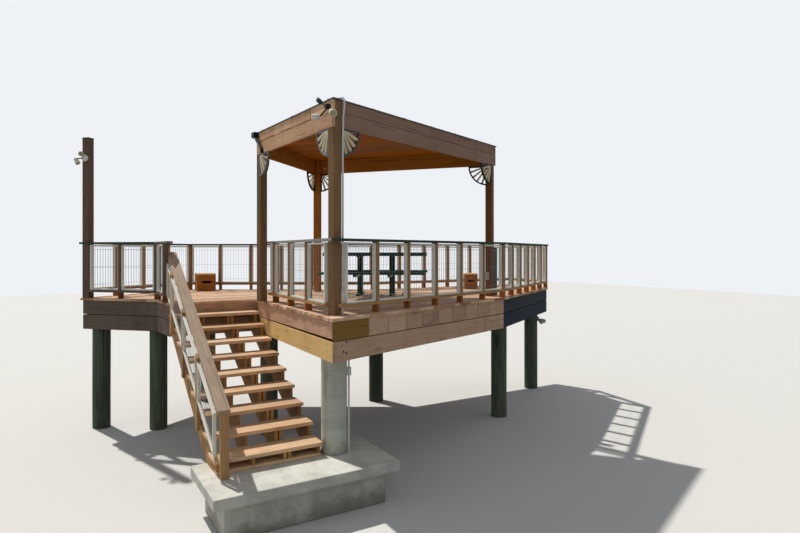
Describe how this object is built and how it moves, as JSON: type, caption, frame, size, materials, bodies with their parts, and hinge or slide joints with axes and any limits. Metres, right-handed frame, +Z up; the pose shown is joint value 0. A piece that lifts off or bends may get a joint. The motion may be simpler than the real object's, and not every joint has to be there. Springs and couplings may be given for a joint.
{
  "type": "raised waterside deck with canopy and stair",
  "caption": "Raised timber deck of irregular plan on round piles, with mesh railings, an open stair on one side and a flat canopy on posts with quarter-wheel brackets.",
  "frame": {"origin": "centre of the landing's underside, level with the feet of the piles", "axes": "+Z up, +Y along the stair towards the deck, +X to the right of a person climbing the stair"},
  "size_m": [8.9415, 6.4852, 4.786],
  "materials": {
    "concrete": "matt, weathered concrete",
    "pile_timber": "dark, damp, weathered",
    "frame_timber": "sawn, weathered",
    "deck_timber": "worn boards",
    "tan_timber": "sawn, weathered",
    "dark_timber": "dark stain",
    "post_timber": "sawn, weathered",
    "canopy_timber": "sawn, weathered",
    "ceiling_timber": "warm brown stain",
    "roof_metal": "dark sheet",
    "black_iron": "black paint",
    "cream_timber": "pale paint",
    "zinc": "dull galvanised",
    "rail_timber": "grey, weathered",
    "stair_timber": "worn boards",
    "green_metal": "dark green coating",
    "box_timber": "brown stain",
    "white_plastic": "white enamel",
    "conduit_plastic": "grey plastic"
  },
  "bodies": {
    "root": {"landing": "concrete", "concrete_column": "concrete", "timber_piles": "pile_timber", "girders": "frame_timber", "joists": "frame_timber", "deck_floor": "deck_timber", "fascia_front": "tan_timber", "fascia_end": "dark_timber", "fascia_rear": "dark_timber", "fascia_left": "dark_timber", "fascia_stair_side": "tan_timber", "canopy_posts": "post_timber", "canopy_upper_boards": "canopy_timber", "canopy_lower_boards": "canopy_timber", "canopy_ceiling": "ceiling_timber", "canopy_rafters": "ceiling_timber", "roof_sheet": "roof_metal", "wheel_bracket_rims": "black_iron", "wheel_bracket_spokes": "cream_timber", "rail_frame_front": "post_timber", "rail_frame_end": "post_timber", "rail_frame_rear": "post_timber", "rail_frame_left": "post_timber", "rail_frame_stair_side": "post_timber", "panels_front": "zinc", "panels_end": "zinc", "panels_rear": "zinc", "panels_left": "zinc", "panels_stair_side": "zinc", "top_rails": "rail_timber", "stringers": "stair_timber", "treads": "stair_timber", "handrail": "rail_timber", "stair_posts": "post_timber", "stair_panels": "zinc", "lamp_post": "post_timber", "picnic_table_top": "green_metal", "picnic_table_frame": "green_metal", "box_seats": "box_timber", "corner_floodlight": "white_plastic", "corner_lamp": "black_iron", "twin_spotlights": "white_plastic", "conduit": "conduit_plastic", "junction_box": "conduit_plastic", "cabinet": "green_metal"}
  },
  "joints": []
}
